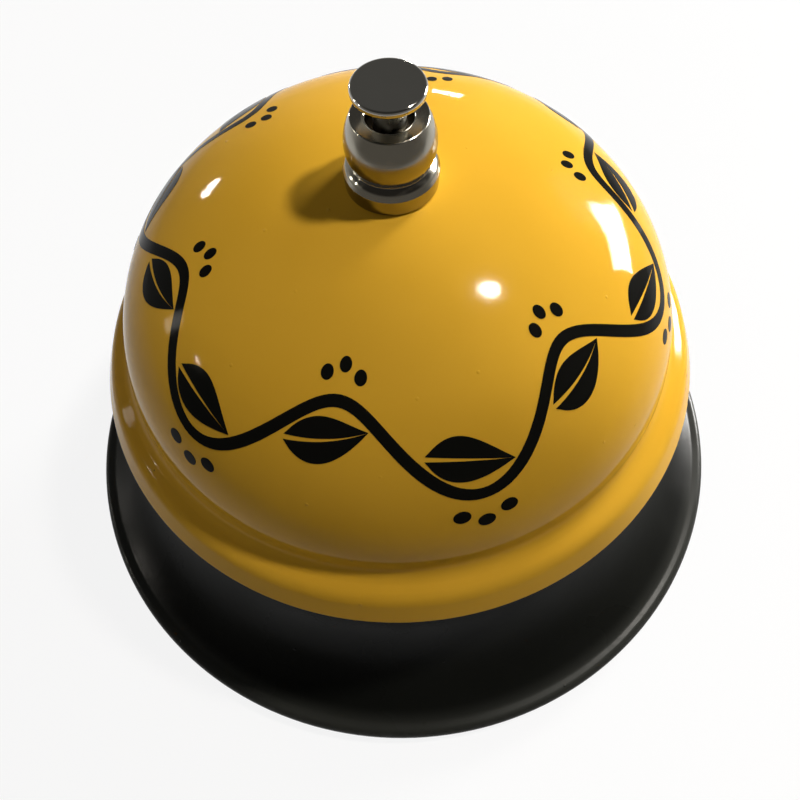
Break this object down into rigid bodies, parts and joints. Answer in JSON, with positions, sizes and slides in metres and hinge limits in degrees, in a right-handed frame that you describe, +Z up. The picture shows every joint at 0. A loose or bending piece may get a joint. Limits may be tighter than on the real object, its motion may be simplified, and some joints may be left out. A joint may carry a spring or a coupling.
{
  "type": "service bell",
  "caption": "Desk service bell: enamelled dome with a flared lip on a flared black base, rung by a sprung push button that swings a hanging hammer inside.",
  "frame": {"origin": "centre of the base on the table, at the bottom of the rubber feet", "axes": "+Z up along the post and plunger, +X towards the hammer, -Y towards the picture's camera"},
  "size_m": [0.085, 0.085, 0.065],
  "materials": {
    "black_enamel": "semi-gloss black enamel on pressed steel",
    "yellow_enamel": "gloss yellow enamel on pressed steel",
    "chrome": "bright chrome plate with fine turning lines",
    "zinc_steel": "satin zinc-plated steel",
    "spring_steel": "drawn spring wire",
    "brass": "turned brass",
    "rubber": "matt black rubber",
    "fibre": "dull vulcanised fibre"
  },
  "bodies": {
    "stand": {"base_pan": "black_enamel", "rubber_foot_1": "rubber", "rubber_foot_2": "rubber", "rubber_foot_3": "rubber", "rubber_foot_4": "rubber", "post": "zinc_steel", "post_lock_washer": "zinc_steel", "post_nut": "zinc_steel", "lever_yoke": "zinc_steel", "pivot_pin": "zinc_steel", "dome_washer": "fibre", "bell_dome": "yellow_enamel", "barrel_nut": "chrome", "return_spring": "spring_steel"},
    "plunger": {"push_button": "chrome", "plunger_rod": "chrome", "spring_collar": "zinc_steel"},
    "hammer": {"hammer_lever": "zinc_steel", "hammer_head": "brass", "hammer_rivet": "zinc_steel"}
  },
  "joints": [
    {"name": "button_press", "type": "slide", "parent": "stand", "child": "plunger", "axis": [0, 0, -1], "range_m": [0, 0.002], "stiffness_N_per_m": 250, "springref_m": -0.004, "deforming": ["return_spring"]},
    {"name": "hammer_swing", "type": "hinge", "parent": "stand", "child": "hammer", "pos_m": [0.009, 0, 0.04503], "axis": [0, -1, 0], "range_deg": [0, 12.75]}
  ],
  "couplings": [
    {"joint": "hammer_swing", "follows": "button_press", "rad_per_m": 111.11}
  ]
}
